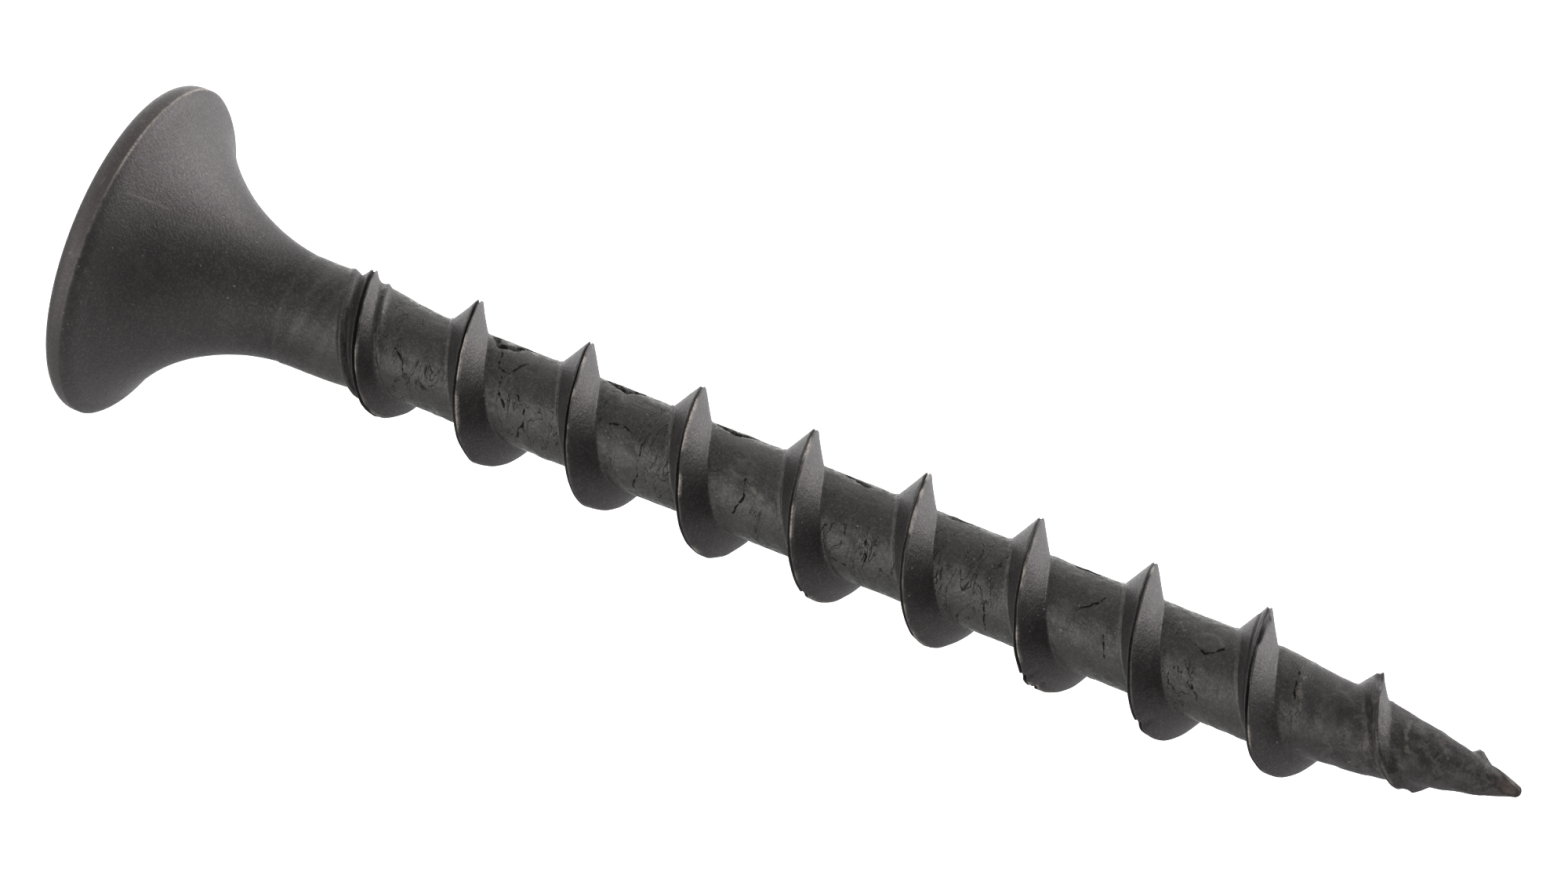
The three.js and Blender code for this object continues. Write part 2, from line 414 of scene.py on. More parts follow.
# ---- The mesh: rows that follow the thread's helix, so that crests and roots lie along its edges ----
def rows_across_pitch():
    """Places of the rows across one pitch, measured from the crest: close on crest and roots."""
    crest = np.array([0.0, 0.018, 0.04, 0.065, 0.1])
    flank = np.linspace(0.16, 0.42, 6)
    root = np.array([0.455, 0.475, 0.495, 0.53, 0.58])
    core = np.linspace(0.66, PITCH - 0.66, 19)
    root_before = PITCH - np.array([0.60, 0.56, 0.53, 0.505, 0.48, 0.455])
    flank_before = PITCH - np.linspace(0.42, 0.21, 5)
    crest_before = PITCH - np.array([0.16, 0.12, 0.09, 0.068, 0.050, 0.034, 0.018])
    return np.concatenate([crest, flank, root, core, root_before, flank_before, crest_before])


def stretched_station(turns):
    """station_at, with the rows spread out along the flare and held at both ends."""
    station = drifted(station_at(turns))
    short = np.maximum(0.0, FLARE_STRETCH_STATION - station)
    return np.clip(station - short * (FLARE_STRETCH - 1.0), GRID_START, LENGTH)


def helical_grid():
    """Stations and angles of the grid's points, and its faces by point number.

    A row that goes once round meets the row one pitch further on. Rows that start on the ring at
    GRID_START share its points, and rows that end on the nose share its one point."""
    places = rows_across_pitch() / PITCH
    per_turn = len(places)
    spread = (FLARE_STRETCH_STATION - GRID_START) / FLARE_STRETCH
    first = math.floor(turns_at(FLARE_STRETCH_STATION - spread)) - 2
    last = math.ceil(turns_at(LENGTH)) + 2
    row_turns = np.concatenate([k + places for k in range(first, last + 1)])
    angle = 2 * math.pi * np.arange(COLUMNS) / COLUMNS
    turns = row_turns[:, None] + (angle[None, :] - CREST_ANGLE) / (2 * math.pi)
    station = stretched_station(turns)
    angles = np.broadcast_to(angle, station.shape)

    on_ring = station <= GRID_START + SNAP
    on_nose = station >= LENGTH - 0.1 * SNAP
    free = ~(on_ring | on_nose)
    number = np.zeros(station.shape, int)
    number[on_ring] = np.broadcast_to(np.arange(COLUMNS), station.shape)[on_ring]
    number[on_nose] = COLUMNS
    number[free] = COLUMNS + 1 + np.arange(free.sum())

    points_station = np.concatenate([np.full(COLUMNS, GRID_START), [LENGTH], station[free]])
    points_angle = np.concatenate([angle, [0.0], angles[free]])

    rows = len(row_turns) - per_turn - 1
    here = number[:rows]
    above = number[1 : rows + 1]
    beside = np.concatenate([here[:, 1:], number[per_turn : per_turn + rows, :1]], 1)
    above_beside = np.concatenate([above[:, 1:], number[per_turn + 1 : per_turn + rows + 1, :1]], 1)
    quads = np.stack([here, beside, above_beside, above], -1).reshape(-1, 4)
    faces = []
    for quad in quads.tolist():
        corners = list(dict.fromkeys(quad))
        if len(corners) > 2:
            faces.append(corners)
    return points_station, points_angle, faces


def ridge(offset, crest_station, points):
    """Height of the thread above the blank, and masks of its crest: seam (painted dark as shade), lit lip,
    bare chips.
    """
    height = crest_height(crest_station)
    half_base = thread_half_base(crest_station)
    at_start = smoothstep(8.5, 5.5, crest_station)

    # Two flanks that meet the blank in a fillet; parts of the last turn, on the point, are broken off.
    flank = (half_base - np.abs(offset)) / (half_base - CREST_HALF_FLAT)
    rise = 0.5 * (flank + np.sqrt(flank**2 + ROOT_FILLET**2)) - 0.25 * ROOT_FILLET**2
    broken = smoothstep(30.2, 31.0, crest_station) * smoothstep(0.1, 0.6, noise(points, 3.2, SEED + 43))
    rise = np.minimum(rise, 1.0 - 0.30 * broken)
    rise = np.clip(rise, 0.0, 1.0) ** (1.0 + 0.9 * at_start)
    worn = 0.05 * noise(points, 1.3, SEED + 1) + 0.035 * noise(points, 4.0, SEED + 2)
    worn = worn * (1.0 + 3.5 * smoothstep(29.8, 31.0, crest_station))
    tall = height * rise * (1.0 + worn * smoothstep(0.6, 1.0, rise))

    # The seam where the rolled crest closed, deeper and shallower by turns, with one wide split.
    wander = 0.014 * noise(points, 2.2, SEED + 3) + 0.008 * noise(points, 7.0, SEED + 4)
    centre = -0.014 + wander
    width = 0.036 + 0.012 * noise(points, 1.7, SEED + 5) + 0.03 * at_start
    open_share = np.clip(0.8 + 0.6 * noise(points, 1.1, SEED + 6) + at_start, 0.1, 1.3)
    seam = np.clip(1.7 * (1.0 - np.abs(offset - centre) / width), 0.0, 1.0)
    present = smoothstep(0.03, 0.14, height) * (1.0 - 0.8 * smoothstep(29.3, 30.4, crest_station))
    split = hill(28.6, 1.0, crest_station) * hill(-0.15 + wander, 0.045, offset)
    depth = np.minimum(0.05 * open_share, 0.5 * height)
    # The seam's mask is painted dark in the material, as shade in the seam.
    seam_mask = np.maximum(seam * np.clip(open_share, 0.0, 1.0) * present, split)

    # The worn lip on the seam's point side, and the beads along it that are rubbed bare.
    worn_places = smoothstep(-0.1, 0.5, noise(points, 6.0, SEED + 18) + 0.4 * noise(points, 1.2, SEED + 19))
    lip = hill(centre + 0.050, 0.045, offset) * present * (0.25 + 0.75 * worn_places)
    beads = noise(points, 5.0, SEED + 40) + 0.8 * noise(points, 1.4, SEED + 41)
    chip = hill(centre + 0.045, 0.050, offset) * present * smoothstep(0.0, 0.45, beads)
    return tall - depth * seam * present - 0.06 * split, seam_mask, lip, chip


def start_folds(offset, crest_station, points):
    """Height of the low ridges beside the thread's start, and a mask of the groove between, which the
    material paints dark as shade.
    """
    begun = smoothstep(4.7, 5.5, crest_station)
    before = begun * (1.0 - smoothstep(7.3, 8.7, crest_station))
    after = begun * (1.0 - smoothstep(6.0, 6.8, crest_station))
    wander = 0.02 * noise(points, 1.5, SEED + 20)
    swell = 0.05 + 0.13 * hill(6.95, 1.0, crest_station)
    head_side = before * swell * hill(-0.45 + wander, 0.14, offset)
    groove = before * 0.04 * hill(-0.24 + wander, 0.10, offset)
    tip_side = after * 0.05 * hill(0.44 + wander, 0.12, offset)
    return head_side - groove + tip_side, before * hill(-0.24, 0.09, offset)


def line_nearness(station, angle, line, width):
    """1 along a drawn line on the shaft, falling to 0 half its width away."""
    across = np.radians(np.array([p[1] for p in line])) * CORE_RADIUS_FRONT
    nodes = np.column_stack([[p[0] for p in line], across])
    at = np.stack([station, angle * CORE_RADIUS_FRONT], -1)
    nearness = np.zeros(station.shape)
    for start, end in zip(nodes[:-1], nodes[1:]):
        run = end - start
        t = np.clip(((at - start) @ run) / (run @ run), 0.0, 1.0)
        away = np.hypot(*np.moveaxis(at - start - t[..., None] * run, -1, 0))
        nearness = np.maximum(nearness, 1.0 - away / (0.5 * width))
    return np.clip(1.6 * nearness, 0.0, 1.0)


def cut_lines(station, angle, points, lines, width):
    """1 along each of a set of lines cut into the shaft, with their edges roughened."""
    ragged_station = station + 0.035 * noise(points, 5.0, SEED + 30)
    ragged_angle = angle + 0.035 * noise(points, 5.0, SEED + 31)
    ragged_width = width * (1.0 + 0.5 * noise(points, 3.0, SEED + 32))
    nearness = np.zeros(station.shape)
    for line in lines:
        near = line_nearness(ragged_station, ragged_angle, line, ragged_width)
        nearness = np.maximum(nearness, near)
    return nearness


def flake_patches(station, angle, radius, points):
    """1 inside each raised flake, with a ragged outline, and 1 along the edge of each."""
    ragged = 0.35 * noise(points, 3.0, SEED + 33) + 0.2 * noise(points, 7.0, SEED + 34)
    inside = np.zeros(station.shape)
    for middle, middle_angle, half_length, half_width in FLAKES:
        along = (station - middle) / half_length
        across = (angle - math.radians(middle_angle)) * radius / half_width
        inside = np.maximum(inside, smoothstep(1.15, 0.85, np.hypot(along, across) + ragged))
    return inside, 4.0 * inside * (1.0 - inside)


def rolled_step(offset, crest, points):
    """A fine rolled step at the foot of each flank, on the head side."""
    place = -thread_half_base(crest) - 0.03 + 0.02 * noise(points, 2.0, SEED + 7)
    return hill(place, 0.045, offset) * smoothstep(0.1, 0.3, crest_height(crest))


def core_relief(station, angle, offset, crest, points):
    """Height of the faint ribs, flaked patches, lumps and pits that rolling left, and a mask of the pits,
    which the material paints dark as shade.
    """
    off_thread = np.abs(offset) - thread_half_base(crest)
    on_core = smoothstep(6.5, 8.5, station) * smoothstep(0.02, 0.14, off_thread)
    along = np.stack([offset * 5.0, crest * 0.6, angle * 0.9], -1)
    ribs = noise(along, 1.0, SEED + 8)
    flake_noise = noise(points, 1.6, SEED + 9) + 0.5 * noise(points, 4.5, SEED + 10)
    flakes = smoothstep(0.15, 0.45, flake_noise)
    pit_noise = noise(points, 2.1, SEED + 11) + 0.45 * noise(points, 5.5, SEED + 12)
    pits = 0.6 * smoothstep(0.78, 1.0, pit_noise)
    lumps = noise(points, 0.9, SEED + 13)
    height = on_core * (0.010 * ribs + 0.014 * flakes - 0.020 * pits + 0.010 * lumps)
    return height, on_core * pits


def shank_lines(station, angle, off_thread):
    """The dies' lines, which lean along the shank, from -1 to 1, and a mask of the shank."""
    leaning = np.stack([(station + 0.32 * angle) * 9.0, angle * 1.2, np.zeros_like(angle)], -1)
    lines = noise(leaning, 1.0, SEED + 36)
    on_shank = smoothstep(4.7, 5.1, station) * smoothstep(0.0, 0.2, off_thread)
    return lines, on_shank * (1.0 - smoothstep(6.8, 7.8, station))


def burnished(station, points):
    """How far the dies burnished the coating, and the ring where that starts on the shank."""
    ring = BURNISH_START + 0.03 * noise(points, 0.8, SEED + 35)
    share = 0.35 * smoothstep(ring - 0.02, ring + 0.05, station) + 0.65 * smoothstep(5.6, 7.2, station)
    share = share * (1.0 - 0.5 * smoothstep(26.5, 29.5, station) - 0.5 * smoothstep(29.5, 31.5, station))
    return share, hill(ring, 0.07, station)


def surface_relief(station, points):
    """Height of the flare's shallow dents, the shank's low step and the point's rough surface."""
    on_point = smoothstep(30.5, 33.0, station) * (1.0 - smoothstep(34.2, 34.8, station))
    rough = 0.03 * noise(points, 1.4, SEED + 14) + 0.018 * noise(points, 3.5, SEED + 15)
    rough = rough + 0.010 * noise(points, 7.0, SEED + 42)
    on_flare = 1.0 - smoothstep(4.0, 6.0, station)
    dents = 0.006 * noise(points, 1.0, SEED + 16) + 0.003 * noise(points, 3.0, SEED + 17)
    step = smoothstep(*SHANK_STEP, station) * (1.0 - smoothstep(5.0, 6.5, station))
    return on_point * rough + on_flare * dents + SHANK_STEP_HEIGHT * step


def body_points(station, angle):
    """Radius of the shaft and flare at each point, and the masks that its material reads."""
    radius = blank_radius(station)
    plain = np.stack([station, radius * np.cos(angle), radius * np.sin(angle)], -1)
    offset, crest = nearest_crest(station, angle)
    off_thread = np.abs(offset) - thread_half_base(crest)

    tall, seam, lip, chip = ridge(offset, crest, plain)
    folds, fold_groove = start_folds(offset, crest, plain)
    step = rolled_step(offset, crest, plain)
    core, pits = core_relief(station, angle, offset, crest, plain)
    lines, on_shank = shank_lines(station, angle, off_thread)
    burnish, ring = burnished(station, plain)
    fold_marks = cut_lines(station, angle, plain, FOLDS, FOLD_WIDTH)
    notches = cut_lines(station, angle, plain, NOTCHES, NOTCH_WIDTH)
    patches, patch_edges = flake_patches(station, angle, radius, plain)
    beside_thread = smoothstep(0.0, 0.05, off_thread)
    patches = patches * beside_thread
    patch_edges = patch_edges * beside_thread

    detail = tall + folds + 0.026 * step
    detail = detail - FOLD_DEPTH * fold_marks - NOTCH_DEPTH * notches
    detail = detail + FLAKE_HEIGHT * patches + 0.007 * on_shank * lines
    detail = detail + core + surface_relief(station, plain)
    ends = smoothstep(GRID_START, GRID_START + 0.5, station)

    on_thread = smoothstep(0.05, -0.05, off_thread)
    masks = {
        # The seam and pit masks are painted dark in the material: painted shade in the seam, the groove by
        # the thread's start, the pits and the folds.
        "seam": np.clip(seam + 0.5 * fold_groove, 0.0, 1.0),
        "lip": np.clip(lip + 0.8 * step + 0.30 * ring, 0.0, 1.0),
        "pit": np.maximum(0.3 * pits, 0.6 * fold_marks),
        "flake": np.clip(0.6 * patches + patch_edges, 0.0, 1.0),
        "thread": smoothstep(0.02, 0.2, crest_height(crest)) * on_thread,
        "burnish": burnish,
        "striation": on_shank * (0.5 + 0.5 * lines),
        "chip": chip,
    }
    return radius + detail * ends, masks


def shoulder_lean(points):
    """How far each point of the shoulder stands back, by the side of the screw it is on."""
    radius = np.hypot(points[:, 1], points[:, 2])
    angle = np.arctan2(points[:, 2], points[:, 1])
    share = smoothstep(*SHOULDER_LEAN_RADII, radius) * smoothstep(*SHOULDER_LEAN_STATIONS, points[:, 0])
    return SHOULDER_LEAN * share * np.cos(angle - CREST_ANGLE)


def middle_offset(station):
    """How far the screw's middle lies off the axis at a station, as y and z."""
    share = 1.0 - smoothstep(*HEAD_SHIFT_FADE, station)
    head = HEAD_SHIFT * share
    bend = np.clip((station - POINT_BEND_START) / (LENGTH - POINT_BEND_START), 0.0, 1.0)
    point = POINT_BEND_REACH * bend**1.5
    y = head * math.cos(HEAD_SHIFT_ANGLE) + point * math.cos(POINT_BEND_ANGLE)
    z = head * math.sin(HEAD_SHIFT_ANGLE) + point * math.sin(POINT_BEND_ANGLE)
    return y, z


# ---- The head's rim, flat face and cross recess ----
def cross_outline(reach, half_width, core):
    """The recess's outline at one depth: COLUMNS points in step with the ring's angles."""
    # A quarter is half a wing with a rounded corner, a point on the round core, and the mirror image.
    inner = max(half_width, core - half_width * 0.42)
    core_middle = (inner + half_width) * 0.54
    bevel = WING_CORNER * 0.3
    half_wing = [
        (reach, 0.0),
        (reach, half_width - WING_CORNER),
        (reach - bevel, half_width - bevel),
        (reach - WING_CORNER, half_width),
        (inner, half_width),
    ]
    mirrored = [(z, y) for y, z in reversed(half_wing)]
    quarter = np.array([*half_wing, (core_middle, core_middle), *mirrored])
    length = np.concatenate([[0.0], np.cumsum(np.hypot(*np.diff(quarter, axis=0).T))])
    per_quarter = COLUMNS // 4
    at = length[-1] * np.arange(per_quarter) / per_quarter
    y = np.interp(at, length, quarter[:, 0])
    z = np.interp(at, length, quarter[:, 1])
    loop = []
    for cosine, sine in ((1, 0), (0, 1), (-1, 0), (0, -1)):
        loop.append(np.stack([cosine * y - sine * z, sine * y + cosine * z], -1))
    return np.concatenate(loop)


def head_rows():
    """Closed rows of (station, y, z) from the ring at GRID_START round to the recess's floor."""
    angle = 2 * math.pi * np.arange(COLUMNS) / COLUMNS
    ring = np.stack([np.cos(angle), np.sin(angle)], -1)
    rows = []
    for station in np.linspace(GRID_START, CREASE_STATION, 15)[1:]:
        rows.append((station, ring * np.interp(station, OUTLINE[:, 0], OUTLINE[:, 1])))
    for share in (0.1, 0.3, 0.6, 1.0):
        station = CREASE_STATION + (RIM_ROUND_LENGTH - CREASE_STATION) * share
        rows.append((station, ring * HEAD_RADIUS))
    for step in np.linspace(0.0, 1.0, 13)[1:]:
        turn = step * math.pi / 2
        station = FACE_DOME + (RIM_ROUND_LENGTH - FACE_DOME) * (1.0 - math.sin(turn))
        rows.append((station, ring * (HEAD_RADIUS - RIM_ROUND_HEIGHT * (1.0 - math.cos(turn)))))
    face_edge = ring * (HEAD_RADIUS - RIM_ROUND_HEIGHT)
    top = cross_outline(WING_REACH_TOP + RECESS_EDGE, WING_HALF_WIDTH_TOP + RECESS_EDGE, RECESS_CORE_TOP)
    for share in (0.1, 0.25, 0.45, 0.65, 0.82, 0.94):
        rows.append((FACE_DOME * (1 - share) ** 2, face_edge * (1 - share) + top * share))
    rows.append((0.0, top))
    for step in (0.3, 0.65, 1.0):
        ease = RECESS_EDGE * (1.0 - step)
        outline = cross_outline(WING_REACH_TOP + ease, WING_HALF_WIDTH_TOP + ease, RECESS_CORE_TOP)
        rows.append((RECESS_EDGE * (1.0 - math.sqrt(1.0 - step * step)), outline))
    for step in np.linspace(0.0, 1.0, 15)[1:]:
        reach = WING_REACH_TOP + (WING_REACH_BOTTOM - WING_REACH_TOP) * step
        width = WING_HALF_WIDTH_TOP + (WING_HALF_WIDTH_BOTTOM - WING_HALF_WIDTH_TOP) * step
        core = RECESS_CORE_TOP + (RECESS_CORE_BOTTOM - RECESS_CORE_TOP) * step
        station = RECESS_EDGE + (RECESS_DEPTH - RECESS_FLOOR_CONE - RECESS_EDGE) * step
        rows.append((station, cross_outline(reach, width, core)))
    bottom = cross_outline(WING_REACH_BOTTOM, WING_HALF_WIDTH_BOTTOM, RECESS_CORE_BOTTOM)
    for step in (0.75, 0.5, 0.25):
        rows.append((RECESS_DEPTH - RECESS_FLOOR_CONE * step, bottom * step))
    return rows


def head_mesh(first_number):
    """Points and faces of the shoulder, rim, face and recess; the ring is points 0 on."""
    rows = head_rows()
    points = []
    for station, y_and_z in rows:
        points.append(np.column_stack([np.full(COLUMNS, station), y_and_z]))
    points.append(np.array([[RECESS_DEPTH, 0.0, 0.0]]))
    faces = []
    before = list(range(COLUMNS))
    for k in range(len(rows)):
        here = [first_number + k * COLUMNS + j for j in range(COLUMNS)]
        for j in range(COLUMNS):
            beside = (j + 1) % COLUMNS
            faces.append([before[j], here[j], here[beside], before[beside]])
        before = here
    centre = first_number + len(rows) * COLUMNS
    for j in range(COLUMNS):
        faces.append([before[j], centre, before[(j + 1) % COLUMNS]])
    return np.concatenate(points), faces


def head_wear(head):
    """Masks of the crease's painted highlight on its upper side together with the rim's specks, of a
    brighter painted highlight along the crease's top edge, and of the rim.
    """
    radius = np.hypot(head[:, 1], head[:, 2])
    angle = np.arctan2(head[:, 2], head[:, 1])
    at_crease = hill(CREASE_STATION, 0.05, head[:, 0]) * smoothstep(HEAD_RADIUS - 0.1, HEAD_RADIUS, radius)
    upper = smoothstep(math.radians(150.0), math.radians(95.0), np.abs(angle - CREST_ANGLE))
    broken = smoothstep(-0.5, 0.3, noise(head, 1.2, SEED + 21) + 0.5 * noise(head, 5.0, SEED + 22))
    specks = smoothstep(0.75, 1.0, noise(head, 5.0, SEED + 23) + 0.5 * noise(head, 1.5, SEED + 24))
    rim = smoothstep(HEAD_RADIUS - 0.35, HEAD_RADIUS - 0.1, radius)
    band = rim * smoothstep(CREASE_STATION + 0.05, CREASE_STATION - 0.05, head[:, 0])
    # Painted highlight: the crease is lighter only on its upper side, where light catches it; the rim's
    # specks are real.
    worn = np.clip(0.8 * at_crease * upper * broken + rim * specks, 0.0, 1.0)
    top = smoothstep(math.radians(84.0), math.radians(52.0), np.abs(angle - CREST_ANGLE))
    # A brighter painted highlight along the crease's top edge, coloured as bare steel.
    bare = at_crease**2 * top * (0.45 + 0.55 * broken)
    return worn, bare, band


def new_object(name, data):
    """A new object in the scene."""
    made = bpy.data.objects.new(name, data)
    bpy.context.scene.collection.objects.link(made)
    return made


def build_screw():
    """The whole screw as one closed mesh, with its masks as point attributes."""
    station, angle, faces = helical_grid()
    radius, masks = body_points(station, angle)
    radius[COLUMNS] = 0.0
    body = np.column_stack([station, radius * np.cos(angle), radius * np.sin(angle)])
    head, head_faces = head_mesh(len(body))
    points = np.concatenate([body, head])
    shift_y, shift_z = middle_offset(points[:, 0])
    points[:, 0] += shoulder_lean(points)
    points[:, 1] += shift_y
    points[:, 2] += shift_z
    points[:, 0] += FACE_X

    mesh = bpy.data.meshes.new("drywall_screw_surface")
    mesh.from_pydata((points * MM).tolist(), [], faces + head_faces)
    # The crease's painted highlight goes into the lip and chip masks, with the rim's specks.
    worn, bare, rim = head_wear(head)
    masks["lip"] = np.concatenate([masks["lip"], worn])
    masks["chip"] = np.concatenate([masks["chip"], bare])
    masks["rim"] = np.concatenate([np.zeros(len(body)), rim])
    for name, values in masks.items():
        full = np.concatenate([values, np.zeros(len(points) - len(values))])
        attribute = mesh.attributes.new(name, "FLOAT", "POINT")
        attribute.data.foreach_set("value", full.astype(np.float32))
    mesh.shade_smooth()
    mesh.validate()
    return new_object("drywall_screw_detailed", mesh)


# ---- Materials ----
class Nodes:
    """Short calls for making shader nodes, whose inputs are numbers or other nodes' outputs."""

    def __init__(self, tree):
        self.tree = tree
        tree.nodes.clear()

    def add(self, kind, **settings):
        node = self.tree.nodes.new(kind)
        for name, value in settings.items():
            setattr(node, name, value)
        return node

    def feed(self, socket, value):
        if isinstance(value, bpy.types.NodeSocket):
            self.tree.links.new(value, socket)
        elif value is not None:
            socket.default_value = value

    def math(self, operation, a, b=None, third=None):
        node = self.add("ShaderNodeMath", operation=operation)
        self.feed(node.inputs[0], a)
        self.feed(node.inputs[1], b)
        self.feed(node.inputs[2], third)
        return node.outputs[0]

    def times(self, a, b):
        return self.math("MULTIPLY", a, b)

    def plus(self, a, b):
        return self.math("ADD", a, b)

    def larger(self, a, b):
        return self.math("MAXIMUM", a, b)

    def noise(self, vector, scale, detail=3.0, roughness=0.5, distortion=0.0, output="Fac"):
        node = self.add("ShaderNodeTexNoise")
        self.feed(node.inputs["Vector"], vector)
        node.inputs["Scale"].default_value = scale
        node.inputs["Detail"].default_value = detail
        node.inputs["Roughness"].default_value = roughness
        node.inputs["Distortion"].default_value = distortion
        return node.outputs[output]

    def remap(self, value, low, high, new_low=0.0, new_high=1.0):
        """A smooth step from new_low, where the value is low, to new_high, where it is high."""
        node = self.add("ShaderNodeMapRange", interpolation_type="SMOOTHSTEP")
        self.feed(node.inputs["Value"], value)
        node.inputs["From Min"].default_value = low
        node.inputs["From Max"].default_value = high
        node.inputs["To Min"].default_value = new_low
        node.inputs["To Max"].default_value = new_high
        return node.outputs["Result"]

    def mix(self, factor, a, b):
        node = self.add("ShaderNodeMix", data_type="RGBA")
        self.feed(node.inputs["Factor"], factor)
        self.feed(node.inputs["A"], a)
        self.feed(node.inputs["B"], b)
        return node.outputs["Result"]

    def vector(self, operation, a, b=None):
        node = self.add("ShaderNodeVectorMath", operation=operation)
        self.feed(node.inputs[0], a)
        self.feed(node.inputs[1], b)
        return node.outputs["Value" if operation in ("DOT_PRODUCT", "LENGTH") else "Vector"]

    def scaled(self, vector, factor):
        node = self.add("ShaderNodeVectorMath", operation="SCALE")
        self.feed(node.inputs[0], vector)
        self.feed(node.inputs["Scale"], factor)
        return node.outputs["Vector"]

    def parts(self, vector):
        node = self.add("ShaderNodeSeparateXYZ")
        self.feed(node.inputs[0], vector)
        return node.outputs["X"], node.outputs["Y"], node.outputs["Z"]

    def attribute(self, name):
        node = self.add("ShaderNodeAttribute", attribute_name=name)
        return node.outputs["Fac"]


def unrolled(n, place):
    """The surface's place as (station, distance round the core), cut open on the far side."""
    turned = n.add("ShaderNodeVectorRotate", rotation_type="X_AXIS")
    n.feed(turned.inputs["Vector"], place)
    turned.inputs["Angle"].default_value = -FACING_ANGLE
    x, y, z = n.parts(turned.outputs["Vector"])
    angle = n.math("ARCTAN2", z, y)
    flat = n.add("ShaderNodeCombineXYZ")
    n.feed(flat.inputs[0], n.math("SUBTRACT", x, FACE_X * MM))
    n.feed(flat.inputs[1], n.times(angle, CORE_RADIUS_FRONT * MM))
    return flat.outputs["Vector"]


def line_distance(n, flat, line):
    """The distance from a line given as (station, angle) points, on the unrolled surface."""
    points = []
    for station, degrees in line:
        around = (math.radians(degrees) - FACING_ANGLE) * CORE_RADIUS_FRONT
        points.append(Vector((station * MM, around * MM, 0.0)))
    closest = None
    for start, end in zip(points[:-1], points[1:]):
        run = end - start
        away = n.vector("SUBTRACT", flat, start)
        share = n.math("DIVIDE", n.vector("DOT_PRODUCT", away, run), run.length_squared)
        share = n.math("MINIMUM", n.larger(share, 0.0), 1.0)
        foot = n.vector("SUBTRACT", away, n.scaled(run, share))
        distance = n.vector("LENGTH", foot)
        closest = distance if closest is None else n.math("MINIMUM", closest, distance)
    return closest


def painted_lines(n, flat, lines, width, uneven):
    """A mask that is 1 along a set of thin lines, whose width varies with a noise."""
    closest = line_distance(n, flat, lines[0])
    for line in lines[1:]:
        closest = n.math("MINIMUM", closest, line_distance(n, flat, line))
    closest = n.plus(closest, n.remap(uneven, 0.38, 0.62, -0.25 * width * MM, 0.27 * width * MM))
    return n.remap(closest, 0.5 * width * MM, 0.1 * width * MM)


class Surface:
    """The values from which the screw's colour, shine and relief are mixed."""

    def __init__(self, n):
        self.place = n.add("ShaderNodeTexCoord").outputs["Object"]
        self.station = n.math("SUBTRACT", n.parts(self.place)[0], FACE_X * MM)
        self.add_masks(n)
        self.add_textures(n)
        self.add_marks(n)

    def add_masks(self, n):
        """The mesh's own masks, and those that follow from them and from the station."""
        for name in ("seam", "lip", "pit", "flake", "striation", "chip", "rim"):
            setattr(self, name, n.attribute(name))
        self.off_thread = n.math("SUBTRACT", 1.0, n.attribute("thread"))
        self.on_core = n.times(n.attribute("burnish"), self.off_thread)
        self.on_point = self.along(n, POINT_MOTTLED)
        self.at_tip = self.along(n, TIP_BROWN)
        self.on_shank = n.times(self.along(n, DULL_START), self.along(n, DULL_END))

    def along(self, n, stations):
        """A smooth step from 0 at the first of two stations to 1 at the second."""
        return n.remap(self.station, stations[0] * MM, stations[1] * MM)

    def add_textures(self, n):
        """Crystals a few hundredths of a millimetre across, clouds of tone, smears and specks."""
        self.grain = n.noise(self.place, 17000.0, 3.0, 0.65)
        self.coarse = n.noise(self.place, 6000.0, 3.0, 0.6)
        self.scaly = n.noise(self.place, 4200.0, 4.0, 0.65, 0.8)
        self.smear = n.noise(self.place, 2600.0, 3.0, 0.55, 0.6)
        self.blotch = n.noise(self.place, 1500.0, 4.0, 0.65)
        self.cloud = n.noise(self.place, 900.0, 4.0, 0.6)
        speck = n.remap(n.noise(self.place, 11000.0, 2.0), 0.70, 0.75)
        speck_place = n.remap(n.noise(self.place, 500.0, 2.0), 0.42, 0.62, 0.25, 1.0)
        self.speck = n.times(speck, speck_place)

    def add_marks(self, n):
        """Scratches, streaks, cracks, the folds' painted shade, and one mask of all that is cut in and
        painted dark as shade.
        """
        flat = unrolled(n, self.place)
        self.scratch = painted_lines(n, flat, SCRATCHES, SCRATCH_WIDTH, self.grain)
        ragged = n.noise(self.place, 4000.0, output="Color")
        wobble = n.vector("SUBTRACT", ragged, (0.5, 0.5, 0.5))
        flat = n.vector("ADD", flat, n.scaled(wobble, MARK_WOBBLE * MM))
        self.streak = painted_lines(n, flat, STREAKS, STREAK_WIDTH, self.coarse)
        drawn = painted_lines(n, flat, CRACKS, CRACK_WIDTH, self.coarse)
        # Painted shade: a wide dark band along each fold, wider than its groove.
        drawn = n.larger(drawn, painted_lines(n, flat, FOLDS, FOLD_SHADE_WIDTH, self.coarse))
        drawn = n.times(drawn, self.off_thread)

        # Fine cracks run round the shaft, so their noise is stretched that way.
        stretch = n.add("ShaderNodeMapping")
        n.feed(stretch.inputs["Vector"], self.place)
        stretch.inputs["Scale"].default_value = (2.6, 0.9, 0.9)
        fine = n.noise(stretch.outputs["Vector"], 1000.0, 3.0, 0.6, 0.9)
        fine = n.remap(n.math("ABSOLUTE", n.math("SUBTRACT", fine, 0.5)), 0.013, 0.0)
        fine_place = n.remap(n.noise(self.place, 700.0, 2.0), 0.47, 0.56)
        self.crack = n.times(n.times(fine, fine_place), self.on_core)

        # Painted shade: the fine cracks, pits, seam, folds and drawn cracks are gathered into one mask that
        # is painted near black.
        shaded_cuts = n.larger(n.times(self.crack, 0.7), self.pit)
        self.shaded_cuts = n.larger(n.larger(drawn, self.seam), shaded_cuts)


